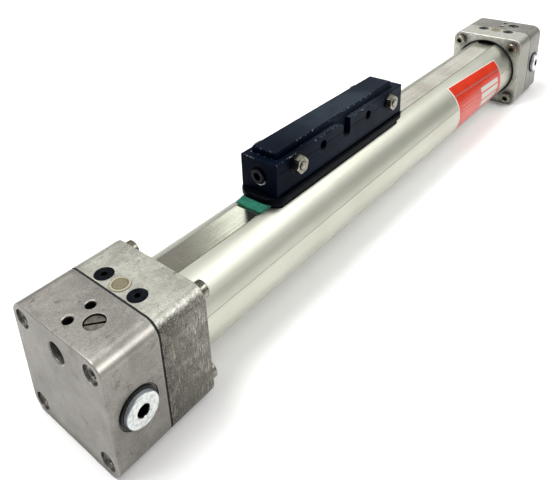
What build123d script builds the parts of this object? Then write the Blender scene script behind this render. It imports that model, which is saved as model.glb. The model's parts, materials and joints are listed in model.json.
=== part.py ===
from build123d import *
from math import atan, cos, radians, sin, sqrt, tan
import os

# Rodless pneumatic cylinder, 40 mm bore and 250 mm stroke, with slotted tube, sealing bands,
# a double piston inside and a load carriage outside. Millimetres.
# Origin: on the tube axis, in the outer face of the near end cap.
# +X runs along the tube to the far end, +Z is up through the slot, plugged ports look to -Y.

os.makedirs("parts", exist_ok=True)

# Tube
bore_d = 40.0
tube_wall = 8.6
stroke = 250.0
slot_width = 8.4
guide_line_angle = 74.8
guide_line_depth = 0.3
guide_line_width = 0.5

# Sealing bands
outer_band_width = 17.06
outer_band_thick = 0.6
outer_band_seat_depth = 1.7
outer_band_lift = 12.9
inner_band_width = 12.4
inner_band_thick = 1.0
inner_band_dip = 12.5
band_bend_r = 38.0
band_rise_run = 29.0
band_side_gap = 0.25
band_end_gap = 0.8
band_opening_gap = 0.5
web_end_gap = 3.0
inner_band_flat_reach = 10.3
inner_band_foot_inset = 5.6

# End caps
cap_roof = 6.75
cap_corner_r = 8.6
cap_edge_r = 0.7
cover_length = 30.9
gasket_thick = 1.3
gasket_inset = 0.5
flange_length = 28.9
bolt_edge = 8.35
cap_screw_size = 6.0
cap_screw_grip = 15.0
insert_d = 10.0
insert_thread_d = 5.0
insert_recess = 1.4
insert_length = 11.4
insert_recess_d = 10.8
insert_mouth = 0.5
seal_ring_thick = 0.95
seal_ring_length = 3.0
seal_ring_sink = 0.2

# Ports and cushioning
port_d = 11.8
side_port_x = 15.4
side_port_z = -0.5
side_port_face_d = 22.8
side_port_face_depth = 0.8
end_port_from_top = 13.15
end_port_depth = 15.0
end_port_chamfer = 0.6
port_link_d = 5.9
port_link_inset = 4.0
chamber_d = 24.0
chamber_start = 8.0
chamber_length = 20.0
boss_length = 17.0
boss_gap = 0.3
bumper_thick = 2.0
bumper_side_gap = 1.2
bumper_bore_gap = 3.2
bumper_edge_r = 0.5
cushion_tube_d = 14.0
cushion_tube_wall = 2.5
cushion_reach = 18.0
cushion_tip_chamfer = 1.0
adjuster_x = 15.3
adjuster_y = -10.9
adjuster_head_d = 10.7
adjuster_recess = 0.9
adjuster_head_length = 4.5
adjuster_shank_d = 5.9
adjuster_shank_length = 11.5
adjuster_tip_length = 3.5
adjuster_slot_angle = -40.0
adjuster_slot_width = 1.3
adjuster_slot_depth = 1.3
adjuster_head_chamfer = 0.4
adjuster_tip_d = 1.8
adjuster_duct_d = 3.0
plug_collar_d = 18.0
plug_collar_thick = 2.9
plug_socket = 6.0
plug_socket_depth = 5.4
plug_mouth = 0.25
plug_edge_r = 0.5
plug_foot_chamfer = 0.3
plug_seal_d = 20.4
plug_seal_thick = 1.2
plug_thread_length = 9.0

# Holes and fasteners in the top faces of the end caps
top_hole_d = 5.3
top_hole_floor = 0.85
top_hole_chamfer = 0.5
top_hole_first = 8.5
top_hole_pitch = 12.3
clamp_screw_inset = 5.9
clamp_screw_y = 13.0
clamp_screw_size = 5.0
clamp_head_d = 10.4
clamp_socket = 3.0
clamp_socket_depth = 2.5
clamp_length = 8.0
clamp_span = 34.0
clamp_thick = 2.25
set_screw_size = 6.0
set_screw_socket = 3.0
vent_plug_d = 10.8
vent_plug_proud = 0.4
vent_plug_edge_r = 0.25
retainer_width = 3.0
retainer_depth = 1.2
retainer_proud = 2.8
retainer_clearance = 1.5
retainer_gap_angle = 25.0

# Carriage
carriage_rest = 219.0
carriage_length = 152.3
cheek_thick = 4.7
carriage_height = 22.3
carriage_lift = 5.7
carriage_end_gap = 11.5
carriage_edge = 0.4
cheek_floor_height = 6.9
bar_proud = 4.4
bar_width = 18.4
bar_near_ledge = 5.5
bar_far_ledge = 8.15
bar_side_groove = 1.0
bar_groove_depth = 2.0
bar_far_corner_r = 1.2
bar_near_corner_r = 0.8
bar_edge = 0.4
bar_head_depth = 4.0
end_bridge_thick = 1.8
web_thick = 5.0
cross_line_height = 15.3
cross_hole_d = 7.0
cross_hole_pitch = 55.3
cross_bolt_inset = 20.0
cross_bolt_size = 6.0
cross_bore_d = 12.8
cross_bore_depth = 1.2
cross_end_proud = 1.2
cross_end_r = 1.1
cross_hexagon = 10.0
cross_head_height = 4.0
cross_nut_height = 5.0
cross_nut_turns = (8, 20)
scribe_width = 0.4
scribe_depth = 0.3
side_slot_width = 8.6
side_slot_depth = 12.6
side_slot_notch = 5.0
end_screw_size = 6.0
end_screw_height = 11.2
end_screw_head = 4.0
end_screw_proud = 1.5
end_screw_grip = 6.5
end_screw_side_gap = 0.7
yoke_screw_size = 4.0
yoke_screw_head = 3.2
yoke_screw_sink = 0.2
yoke_screw_end_gap = 2.0
yoke_screw_pitch = 14.0

# Dust cover and wipers
cover_rim_overhang = 4.7
cover_rim_side = 2.3
cover_rim_thick = 4.7
cover_rim_corner_r = 11.0
cover_rim_edge_r = 1.2
skirt_inset = 2.4
skirt_corner_r = 8.5
cover_opening_inset = 5.8
wiper_reach = 6.0
wiper_width = 19.6
wiper_depth = 9.0
wiper_tip = 1.1
wiper_thick = 2.6

# Pistons and yoke
piston_gap = 0.4
piston_length = 32.0
piston_stop_gap = 0.3
piston_seal_width = 4.0
guide_ring_width = 6.0
guide_ring_inset = 3.0
piston_land = 2.0
piston_edge = 0.8
lip_groove_width = 1.0
lip_groove_depth = 1.6
cushion_bore_side_gap = 1.2
cushion_bore_end_gap = 2.0
ring_groove_depth = 3.2
cushion_seal_length = 3.0
cushion_seal_thick = 2.9
piston_screw_size = 6.0
piston_screw_grip = 12.0
piston_screw_drill = 14.0
yoke_gap = 1.4
yoke_width = 26.0
yoke_top_gap = 2.8
yoke_height = 29.2
neck_side_gap = 0.5
neck_overlap = 2.0
neck_root = 5.0

# Clearances, each on one side
static_gap = 0.05
running_gap = 0.08
slide_gap = 0.3
seal_gap = 0.05
drill_gap = 0.7

# How far a cutter runs past what it cuts
overrun = 1.0

bore_r = bore_d / 2
tube_r = bore_r + tube_wall
cap_side = 2 * (tube_r + cap_roof)
bolt_square = cap_side - 2 * bolt_edge
outer_band_seat = tube_r - outer_band_seat_depth
cap_length = cover_length + gasket_thick + flange_length
flange_start = cover_length + gasket_thick
cap_top = cap_side / 2
end_port_z = cap_top - end_port_from_top
top_hole_depth = end_port_from_top - port_d / 2 - top_hole_floor
clamp_screw_x = flange_start + clamp_screw_inset
band_top = outer_band_seat + outer_band_thick
carriage_bottom = tube_r + carriage_lift
carriage_top = carriage_bottom + carriage_height
carriage_width = bar_width + 2 * (cheek_thick + static_gap)
cheek_floor = carriage_bottom + cheek_floor_height
cross_line_z = carriage_bottom + cross_line_height
end_screw_z = carriage_bottom + end_screw_height
end_panel_top = carriage_top - end_bridge_thick
bar_top = carriage_top + bar_proud
bar_groove_floor = carriage_top - bar_groove_depth
side_slot_bottom = carriage_top - side_slot_depth
cross_bolt_pitch = carriage_length - 2 * cross_bolt_inset
cover_rim_length = carriage_length + 2 * cover_rim_overhang
cover_rim_width = carriage_width + 2 * cover_rim_side
cover_rim_floor = carriage_bottom - cover_rim_thick
cover_opening_length = carriage_length - 2 * cover_opening_inset
piston_d = bore_d - 2 * piston_gap
yoke_d = bore_d - 2 * yoke_gap
yoke_top = bore_r - yoke_top_gap
yoke_bottom = yoke_top - yoke_height
neck_width = slot_width - 2 * neck_side_gap
inner_band_low = bore_r + static_gap
carriage_reach = cover_rim_length / 2 + wiper_reach
near_limit = cap_length + carriage_end_gap + carriage_reach
overall_length = 2 * near_limit + stroke
boss_end = flange_start + boss_length
bumper_face = boss_end + bumper_thick
piston_half = near_limit - bumper_face - piston_stop_gap
yoke_half = piston_half - piston_length
flange_bore_r = tube_r + 2 * static_gap
ring_pocket_r = tube_r + retainer_proud
retainer_x = clamp_screw_x + clamp_length / 2 + retainer_clearance
ring_pocket_end = retainer_x + retainer_width + static_gap
clamp_inner_r = tube_r + slide_gap + static_gap
clamp_outer_r = clamp_inner_r + clamp_thick
bolt_corners = [(sy * bolt_square / 2, sz * bolt_square / 2) for sy in (-1, 1) for sz in (-1, 1)]
bar_start = -carriage_length / 2 + bar_near_ledge
bar_end = carriage_length / 2 - bar_far_ledge


def rod_x(start, end, radius, y=0.0, z=0.0):
    return Pos((start + end) / 2, y, z) * Rot(0, 90, 0) * Cylinder(radius, end - start)


def rod_y(start, end, radius, x=0.0, z=0.0):
    return Pos(x, (start + end) / 2, z) * Rot(90, 0, 0) * Cylinder(radius, end - start)


def rod_z(start, end, radius, x=0.0, y=0.0):
    return Pos(x, y, (start + end) / 2) * Cylinder(radius, end - start)


def tube_x(start, end, outer, inner):
    return rod_x(start, end, outer) - rod_x(start, end, inner)


def slab(start, end, width, low, high):
    """Box between two x planes and two heights, centred on the XZ plane."""
    return Pos((start + end) / 2, 0, (low + high) / 2) * Box(end - start, width, high - low)


def rounded_prism(start, end, side, corner):
    """Square bar along X with rounded corners."""
    section = RectangleRounded(side, side, corner)
    return Pos(start, 0, 0) * extrude(Plane.YZ * section, end - start)


def to_far_end(part):
    """The far end cap is the mirror image of the near one."""
    return mirror(part, about=Plane.YZ.offset(overall_length / 2))


def save(node, *pieces):
    solids = [solid for piece in pieces for solid in piece.solids()]
    shape = solids[0] if len(solids) == 1 else Compound(solids)
    export_step(shape, f"parts/{node}.step")


def hex_socket(across_flats, depth):
    """Cutter for a hexagon socket, from z = 0 down."""
    return extrude(RegularPolygon(across_flats / 2, 6, major_radius=False), -depth)


def socket_head_r(size):
    return 0.75 * size + 0.5


def socket_screw(size, length, head_height=None):
    """Socket head screw on +Z, with the underside of its head at z = 0."""
    height = size if head_height is None else head_height
    head = Pos(0, 0, height / 2) * Cylinder(socket_head_r(size), height)
    head = chamfer(head.edges().filter_by(GeomType.CIRCLE).sort_by(Axis.Z)[-1:], 0.07 * size)
    shank = Pos(0, 0, -length / 2) * Cylinder(size / 2, length)
    return head + shank - Pos(0, 0, height) * hex_socket(size - 1, 0.55 * height)


def hexagon_piece(across_flats, height):
    """Hexagon with the chamfered corners of a nut or bolt head, from z = 0 up."""
    blank = extrude(RegularPolygon(across_flats / 2, 6, major_radius=False), height)
    corner = 0.07 * across_flats
    cone_r = across_flats / 2 / cos(radians(30))
    crown = Pos(0, 0, height / 2) * Cylinder(cone_r, height)
    crown = chamfer(crown.edges().filter_by(GeomType.CIRCLE), corner, corner * 0.6)
    return blank & crown


def band_path(run_start, run_end, level, centre, flat_half, foot_half, offset):
    """Side view of a band in the XZ plane: straight, bent over or under the neck, straight."""
    points = [
        (run_start, level),
        (centre - foot_half, level),
        (centre - flat_half, level + offset),
        (centre + flat_half, level + offset),
        (centre + foot_half, level),
        (run_end, level),
    ]
    return FilletPolyline(*points, radius=band_bend_r)


def band_solid(path, thickness, width):
    return extrude(Plane.XZ * trace(path, line_width=thickness), width / 2, both=True)


band_tail = flange_start + band_end_gap
bend_reach = band_bend_r * tan(atan(outer_band_lift / band_rise_run) / 2)
outer_foot_half = cover_opening_length / 2 - bend_reach + band_opening_gap
outer_flat_half = outer_foot_half - band_rise_run
web_length = 2 * (outer_flat_half - bend_reach + web_end_gap)
neck_length = web_length + 2 * neck_overlap
inner_flat_half = neck_length / 2 + inner_band_flat_reach
inner_foot_half = yoke_half - inner_band_foot_inset


def outer_band_line(centre=carriage_rest, start=band_tail, end=overall_length - band_tail):
    middle = outer_band_seat + outer_band_thick / 2
    return band_path(start, end, middle, centre, outer_flat_half, outer_foot_half, outer_band_lift)


def inner_band_line(centre=carriage_rest, start=band_tail, end=overall_length - band_tail):
    middle = inner_band_low + inner_band_thick / 2
    return band_path(start, end, middle, centre, inner_flat_half, inner_foot_half, -inner_band_dip)


def make_tube():
    """Extruded barrel with its slot, the seats of both bands and the retainer grooves."""
    seat_width = outer_band_width + 2 * band_side_gap
    recess_width = inner_band_width + 2 * band_side_gap
    recess_top = inner_band_low + inner_band_thick + static_gap
    section = Circle(tube_r) - Circle(bore_r)
    section -= Pos(0, outer_band_seat + tube_wall / 2) * Rectangle(seat_width, tube_wall)
    section -= Pos(0, tube_r) * Rectangle(slot_width, 2 * (tube_wall + overrun))
    section -= Pos(0, recess_top - tube_wall / 2) * Rectangle(recess_width, tube_wall)
    for side in (-1, 1):
        line = Pos(0, tube_r) * Rectangle(guide_line_width, 2 * guide_line_depth)
        section -= Rot(0, 0, side * guide_line_angle) * line
    tube = Pos(flange_start, 0, 0) * extrude(
        Plane.YZ * section, overall_length - 2 * flange_start
    )
    groove = tube_x(retainer_x, retainer_x + retainer_width, tube_r + overrun, tube_r - retainer_depth)
    return tube - groove - to_far_end(groove)


def make_end_cover():
    """Die-cast head with the port chamber, the boss in the tube and the cushion needle seat."""
    cover = rounded_prism(0, cover_length, cap_side, cap_corner_r)
    cover = fillet(cover.faces().sort_by(Axis.X)[0].outer_wire().edges(), cap_edge_r)
    cover += rod_x(cover_length - overrun, boss_end, bore_r - boss_gap)
    cover -= rod_x(chamber_start, chamber_start + chamber_length, chamber_d / 2)
    cover -= rod_x(
        chamber_start + overrun, boss_end + overrun, cushion_tube_d / 2 + static_gap
    )

    cover -= rod_y(
        -cap_top - overrun, overrun - chamber_d / 2, port_d / 2, side_port_x, side_port_z
    )
    cover -= rod_y(
        -cap_top - overrun, -cap_top + side_port_face_depth, side_port_face_d / 2,
        side_port_x, side_port_z,
    )
    cover -= rod_x(-overrun, end_port_depth, port_d / 2, 0, end_port_z)
    port_mouth = Cone(port_d / 2 + 2 * end_port_chamfer, port_d / 2, 2 * end_port_chamfer)
    cover -= Pos(0, 0, end_port_z) * Rot(0, 90, 0) * port_mouth
    cover -= rod_z(
        chamber_d / 2 - 2 * overrun, end_port_z, port_link_d / 2, chamber_start + port_link_inset
    )

    for y, z in bolt_corners:
        cover -= rod_x(-overrun, insert_recess, insert_recess_d / 2, y, z)
        cover -= rod_x(0, insert_recess + insert_length, insert_d / 2 + static_gap, y, z)
        screw_r = cap_screw_size / 2 + static_gap
        drill_end = cover_length - cap_screw_grip - drill_gap
        cover -= rod_x(drill_end, cover_length + overrun, screw_r, y, z)

    for x in (top_hole_first, top_hole_first + top_hole_pitch):
        cover -= rod_z(cap_top - top_hole_depth, cap_top + overrun, top_hole_d / 2, x)
        mouth = Cone(top_hole_d / 2, top_hole_d / 2 + 2 * top_hole_chamfer, 2 * top_hole_chamfer)
        cover -= Pos(x, 0, cap_top) * mouth

    head_low = cap_top - adjuster_recess - adjuster_head_length
    shank_low = head_low - adjuster_shank_length
    cover -= rod_z(
        head_low - running_gap, cap_top + overrun, adjuster_head_d / 2 + running_gap,
        adjuster_x, adjuster_y,
    )
    cover -= rod_z(
        shank_low - adjuster_tip_length - overrun, cap_top, adjuster_shank_d / 2 + running_gap,
        adjuster_x, adjuster_y,
    )
    cover -= rod_z(0, shank_low, adjuster_duct_d / 2, adjuster_x, adjuster_y)
    return cover


def make_gasket():
    gasket = rounded_prism(
        cover_length, flange_start, cap_side - 2 * gasket_inset, cap_corner_r - gasket_inset
    )
    gasket -= rod_x(cover_length - overrun, flange_start + overrun, bore_r)
    for y, z in bolt_corners:
        gasket -= rod_x(
            cover_length - overrun, flange_start + overrun, cap_screw_size / 2 + slide_gap, y, z
        )
    return gasket


def make_flange():
    """Clamping flange that pulls the tube onto the gasket through the retaining ring."""
    flange = rounded_prism(flange_start, cap_length, cap_side, cap_corner_r)
    flange = fillet(flange.faces().sort_by(Axis.X)[-1].outer_wire().edges(), cap_edge_r)
    flange -= rod_x(flange_start - overrun, cap_length + overrun, flange_bore_r)
    flange -= rod_x(flange_start - overrun, ring_pocket_end, ring_pocket_r)
    seal_seat_r = tube_r + seal_ring_thick + static_gap
    flange -= rod_x(cap_length - seal_ring_length, cap_length + overrun, seal_seat_r)
    notch_width = outer_band_width + 2 * band_side_gap
    flange -= slab(flange_start, cap_length + overrun, notch_width, bore_r, tube_r + slide_gap)
    for y, z in bolt_corners:
        flange -= rod_x(
            flange_start - overrun, cap_length + overrun, cap_screw_size / 2 + slide_gap, y, z
        )
    for y in (-clamp_screw_y, clamp_screw_y):
        flange -= rod_z(
            bore_r, cap_top + overrun, clamp_screw_size / 2 + static_gap, clamp_screw_x, y
        )
        flange -= Pos(clamp_screw_x, y, cap_top) * countersunk_head(static_gap)
    flange -= rod_z(bore_r, cap_top + overrun, vent_plug_d / 2 + static_gap, clamp_screw_x)
    return flange


def countersunk_head(clearance=0.0):
    """90 degree countersunk head with its flat top at z = 0."""
    head_r = clamp_head_d / 2 + clearance
    shank_r = clamp_screw_size / 2 + clearance
    depth = head_r - shank_r
    return Pos(0, 0, -depth / 2) * Cone(shank_r, head_r, depth)


def make_clamp_screws():
    """Countersunk screws that hang the band clamp under the roof of the flange."""
    low = sqrt(tube_r**2 - (clamp_screw_y - clamp_screw_size / 2) ** 2) + slide_gap
    screws = []
    for y in (-clamp_screw_y, clamp_screw_y):
        top = Pos(clamp_screw_x, y, cap_top)
        shank = rod_z(low, cap_top - overrun, clamp_screw_size / 2, clamp_screw_x, y)
        screw = top * countersunk_head() + shank
        screws.append(screw - top * hex_socket(clamp_socket, clamp_socket_depth))
    return screws


def make_band_clamp():
    """Curved saddle over the tube end, which carries the set screw for the bands."""
    start = clamp_screw_x - clamp_length / 2
    end = clamp_screw_x + clamp_length / 2
    saddle = tube_x(start, end, clamp_outer_r, clamp_inner_r)
    saddle &= slab(start, end, clamp_span, 0, 2 * tube_r)
    saddle -= rod_z(0, 2 * tube_r, set_screw_size / 2 + static_gap, clamp_screw_x)
    for y in (-clamp_screw_y, clamp_screw_y):
        saddle -= rod_z(0, 2 * tube_r, clamp_screw_size / 2 + static_gap, clamp_screw_x, y)
    return saddle


def make_set_screw():
    screw = rod_z(band_top, clamp_outer_r, set_screw_size / 2, clamp_screw_x)
    socket = hex_socket(set_screw_socket, (clamp_outer_r - band_top) / 2)
    return screw - Pos(clamp_screw_x, 0, clamp_outer_r) * socket


def make_vent_plug():
    plug = rod_z(clamp_outer_r + static_gap, cap_top + vent_plug_proud, vent_plug_d / 2, clamp_screw_x)
    return fillet(plug.edges().filter_by(GeomType.CIRCLE).sort_by(Axis.Z)[-1:], vent_plug_edge_r)


def make_retaining_ring():
    """Open ring in the groove of the tube, with its gap at the bands."""
    ring = tube_x(
        retainer_x + static_gap, retainer_x + retainer_width - static_gap,
        ring_pocket_r - static_gap, tube_r - retainer_depth + static_gap,
    )
    reach = 2 * tube_r
    wedge = Polygon(
        (0, 0),
        (reach * sin(radians(retainer_gap_angle)), reach * cos(radians(retainer_gap_angle))),
        (-reach * sin(radians(retainer_gap_angle)), reach * cos(radians(retainer_gap_angle))),
        align=None,
    )
    return ring - extrude(Plane.YZ * wedge, cap_length)


def make_tube_seal():
    """Rubber ring that closes the mouth of the flange, open at the bands."""
    ring = tube_x(
        cap_length - seal_ring_length + static_gap, cap_length - seal_ring_sink,
        tube_r + seal_ring_thick, tube_r + static_gap,
    )
    notch_width = outer_band_width + 2 * band_side_gap
    return ring - slab(0, cap_length + overrun, notch_width, 0, 2 * tube_r)


def make_cap_screws():
    length = flange_length + gasket_thick + cap_screw_grip
    screw = Rot(0, 90, 0) * socket_screw(cap_screw_size, length)
    return [Pos(cap_length, y, z) * screw for y, z in bolt_corners]


def make_thread_inserts():
    insert = tube_x(
        insert_recess, insert_recess + insert_length, insert_d / 2, insert_thread_d / 2
    )
    outer_rims = insert.edges().filter_by(GeomType.CIRCLE).sort_by(Axis.X)[:2]
    insert = chamfer(outer_rims.sort_by(SortBy.LENGTH)[:1], insert_mouth)
    return [Pos(0, y, z) * insert for y, z in bolt_corners]


def make_cushion_tube():
    """Sleeve that enters the piston at the end of the stroke and throttles the air."""
    start = chamber_start + chamber_length
    sleeve = tube_x(
        start, boss_end + cushion_reach, cushion_tube_d / 2, cushion_tube_d / 2 - cushion_tube_wall
    )
    tip = sleeve.edges().filter_by(GeomType.CIRCLE).sort_by(Axis.X)[-2:].sort_by(SortBy.LENGTH)[-1:]
    return chamfer(tip, cushion_tip_chamfer)


def make_bumper():
    outer = bore_r - boss_gap - bumper_side_gap
    ring = tube_x(boss_end, bumper_face, outer, cushion_tube_d / 2 + bumper_bore_gap)
    return fillet(ring.edges().filter_by(GeomType.CIRCLE).sort_by(Axis.X)[-2:], bumper_edge_r)


def make_adjuster():
    """Slotted cushion needle screw, recessed in the top face of the cover."""
    head_top = cap_top - adjuster_recess
    head_low = head_top - adjuster_head_length
    shank_low = head_low - adjuster_shank_length
    head = Pos(0, 0, (head_low + head_top) / 2) * Cylinder(adjuster_head_d / 2, adjuster_head_length)
    head = chamfer(
        head.edges().filter_by(GeomType.CIRCLE).sort_by(Axis.Z)[-1:], adjuster_head_chamfer
    )
    screw = head + rod_z(shank_low, head_low, adjuster_shank_d / 2)
    tip = Cone(adjuster_tip_d / 2, adjuster_shank_d / 2, adjuster_tip_length)
    screw += Pos(0, 0, shank_low - adjuster_tip_length / 2) * tip
    slot = Pos(0, 0, head_top) * Box(
        2 * adjuster_head_d, adjuster_slot_width, 2 * adjuster_slot_depth
    )
    return Pos(adjuster_x, adjuster_y, 0) * (screw - Rot(0, 0, adjuster_slot_angle) * slot)


def make_port_plug():
    """Collar plug with a hexagon socket, screwed into the side port."""
    collar = Pos(0, 0, plug_collar_thick / 2) * Cylinder(plug_collar_d / 2, plug_collar_thick)
    rims = collar.edges().filter_by(GeomType.CIRCLE).sort_by(Axis.Z)
    collar = fillet(rims[-1:], plug_edge_r)
    collar = chamfer(
        collar.edges().filter_by(GeomType.CIRCLE).sort_by(Axis.Z)[:1], plug_foot_chamfer
    )
    thread_length = plug_thread_length + plug_seal_thick
    thread = Pos(0, 0, -thread_length / 2) * Cylinder(port_d / 2 - static_gap, thread_length)
    plug = collar + thread
    plug -= Pos(0, 0, plug_collar_thick) * hex_socket(plug_socket, plug_socket_depth)
    mouth_r = plug_socket / 2 / cos(radians(30)) + plug_mouth
    mouth = Cone(mouth_r - 2 * plug_mouth, mouth_r, 2 * plug_mouth)
    plug -= Pos(0, 0, plug_collar_thick - plug_mouth) * mouth
    seat_y = -cap_top + side_port_face_depth - plug_seal_thick
    return Pos(side_port_x, seat_y, side_port_z) * Rot(90, 0, 0) * plug


def make_port_seal():
    seat_y = -cap_top + side_port_face_depth
    ring = rod_y(seat_y - plug_seal_thick, seat_y, plug_seal_d / 2, side_port_x, side_port_z)
    return ring - rod_y(
        seat_y - plug_seal_thick, seat_y, port_d / 2 + static_gap, side_port_x, side_port_z
    )


def make_carriage_body():
    """Channel-shaped carriage block: two cheeks joined by a web over the neck of the yoke."""
    half = carriage_length / 2
    lower_width = outer_band_width + 2 * band_side_gap
    web_top = carriage_bottom + web_thick
    body = slab(-half, half, carriage_width, carriage_bottom, carriage_top)
    body = chamfer(body.edges().filter_by(Axis.X) + body.edges().filter_by(Axis.Z), carriage_edge)
    body -= slab(
        -half - overrun, half + overrun, bar_width + 2 * static_gap, cheek_floor, end_panel_top
    )
    for width, floor in (
        (bar_width + 2 * static_gap, cheek_floor),
        (bar_width + 2 * bar_side_groove, bar_groove_floor),
    ):
        body -= slab(bar_start, bar_end, width, floor, carriage_top + overrun)
    for start, end in ((-half - overrun, -web_length / 2), (web_length / 2, half + overrun)):
        body -= slab(start, end, lower_width, carriage_bottom - overrun, cheek_floor)
    body -= slab(-half, half, lower_width, web_top, cheek_floor)

    cheek = carriage_width / 2
    for x in (-cross_hole_pitch / 2, cross_hole_pitch / 2):
        body -= rod_y(-cheek - overrun, cheek + overrun, cross_hole_d / 2, x, cross_line_z)
    for x in (-cross_bolt_pitch / 2, cross_bolt_pitch / 2):
        shank_r = cross_bolt_size / 2 + static_gap
        body -= rod_y(-cheek - overrun, cheek + overrun, shank_r, x, cross_line_z)
        for side in (-1, 1):
            inner, outer = sorted((side * (cheek - cross_bore_depth), side * (cheek + overrun)))
            body -= rod_y(inner, outer, cross_bore_d / 2, x, cross_line_z)

    slot_centre = side_slot_bottom + side_slot_width / 2
    slot_half = side_slot_width / 2
    through = carriage_width + 2 * overrun
    body -= rod_y(-cheek - overrun, cheek + overrun, slot_half, 0, slot_centre)
    body -= slab(-slot_half, slot_half, through, slot_centre, carriage_top + overrun)
    notch_start = -slot_half - side_slot_notch
    body -= slab(notch_start, 0, through, bar_groove_floor, carriage_top + overrun)
    for side in (-1, 1):
        scribe = Box(carriage_length + 2 * overrun, 2 * scribe_depth, scribe_width)
        body -= Pos(0, side * cheek, cross_line_z) * scribe
    for x in yoke_screw_places():
        body -= rod_z(
            carriage_bottom - overrun, web_top + overrun, yoke_screw_size / 2 + static_gap, x
        )
        seat = web_top - yoke_screw_head - yoke_screw_sink
        body -= rod_z(seat, web_top + overrun, socket_head_r(yoke_screw_size) + slide_gap, x)
    return Pos(carriage_rest, 0, 0) * body


def yoke_screw_places():
    return [(index - 1.5) * yoke_screw_pitch for index in range(4)]


def make_mounting_bar():
    """Raised bar between the cheeks, to which the load is fixed."""
    length = bar_end - bar_start
    plan = Rectangle(length, bar_width)
    corners = plan.vertices().sort_by(Axis.X)
    plan = fillet(corners[2:], bar_far_corner_r)
    plan = fillet(plan.vertices().sort_by(Axis.X)[:2], bar_near_corner_r)
    head_low = carriage_top - bar_head_depth
    head = Pos((bar_start + bar_end) / 2, 0, head_low) * extrude(plan, bar_top - head_low)
    head = chamfer(head.faces().sort_by(Axis.Z)[-1].edges(), bar_edge)
    core = slab(
        bar_start + static_gap, bar_end - static_gap, bar_width, cheek_floor, head_low + overrun
    )
    bar = head + core
    for x in (-cross_hole_pitch / 2, cross_hole_pitch / 2):
        bar -= rod_y(-bar_width, bar_width, cross_hole_d / 2, x, cross_line_z)
    for x in (-cross_bolt_pitch / 2, cross_bolt_pitch / 2):
        bar -= rod_y(-bar_width, bar_width, cross_bolt_size / 2 + static_gap, x, cross_line_z)
    drill = end_screw_grip + drill_gap
    for start, end in (
        (bar_start - overrun, bar_start + drill),
        (bar_end - drill, bar_end + overrun),
    ):
        bar -= rod_x(start, end, end_screw_size / 2 + static_gap, 0, end_screw_z)
    return Pos(carriage_rest, 0, 0) * bar


def make_end_panel(start, end, outer):
    """Panel that closes one end of the channel, with the recess of its screw."""
    panel = slab(start, end, bar_width, carriage_bottom, end_panel_top - static_gap)
    panel -= slab(start, end, 3 * bar_width, carriage_bottom - overrun, cheek_floor) - slab(
        start, end, outer_band_width, carriage_bottom - overrun, cheek_floor
    )
    recess = end_screw_head - end_screw_proud
    low, high = sorted((outer, outer + recess if start <= outer < end else outer - recess))
    panel -= rod_x(low, high, socket_head_r(end_screw_size) + end_screw_side_gap, 0, end_screw_z)
    panel -= rod_x(
        start - overrun, end + overrun, end_screw_size / 2 + static_gap, 0, end_screw_z
    )
    return Pos(carriage_rest, 0, 0) * panel


def make_end_screws():
    recess = end_screw_head - end_screw_proud
    screws = []
    for side, ledge in ((-1, bar_near_ledge), (1, bar_far_ledge)):
        screw = socket_screw(end_screw_size, ledge - recess + end_screw_grip, end_screw_head)
        place = Pos(carriage_rest + side * (carriage_length / 2 - recess), 0, end_screw_z)
        screws.append(place * Rot(0, side * 90, 0) * screw)
    return screws


def cross_bolt_places():
    return [carriage_rest - cross_bolt_pitch / 2, carriage_rest + cross_bolt_pitch / 2]


def make_cross_bolts():
    """Hexagon bolts through both cheeks and the bar, heads on the +Y side."""
    cheek = carriage_width / 2
    tail = cheek + cross_nut_height + cross_end_proud
    bolts = []
    for x in cross_bolt_places():
        shank = rod_y(-tail, cheek, cross_bolt_size / 2, x, cross_line_z)
        shank = fillet(shank.edges().filter_by(GeomType.CIRCLE).sort_by(Axis.Y)[:1], cross_end_r)
        head = hexagon_piece(cross_hexagon, cross_head_height)
        head = Pos(x, cheek, cross_line_z) * Rot(-90, 0, 0) * head
        bolts.append(shank + head)
    return bolts


def make_cross_nuts():
    cheek = carriage_width / 2
    bore = Cylinder(cross_bolt_size / 2 + static_gap, 4 * cross_nut_height)
    nut = hexagon_piece(cross_hexagon, cross_nut_height) - bore
    return [
        Pos(x, -cheek, cross_line_z) * Rot(90, 0, 0) * Rot(0, 0, turn) * nut
        for x, turn in zip(cross_bolt_places(), cross_nut_turns)
    ]


def make_cross_washers():
    """Washers that lie flush in the counterbores of the cheeks."""
    cheek = carriage_width / 2
    washers = []
    for x in cross_bolt_places():
        for side in (-1, 1):
            low, high = sorted((side * cheek, side * (cheek - cross_bore_depth)))
            disc = rod_y(low, high, cross_bore_d / 2 - slide_gap, x, cross_line_z)
            washers.append(disc - rod_y(low, high, cross_bolt_size / 2 + static_gap, x, cross_line_z))
    return washers


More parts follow.
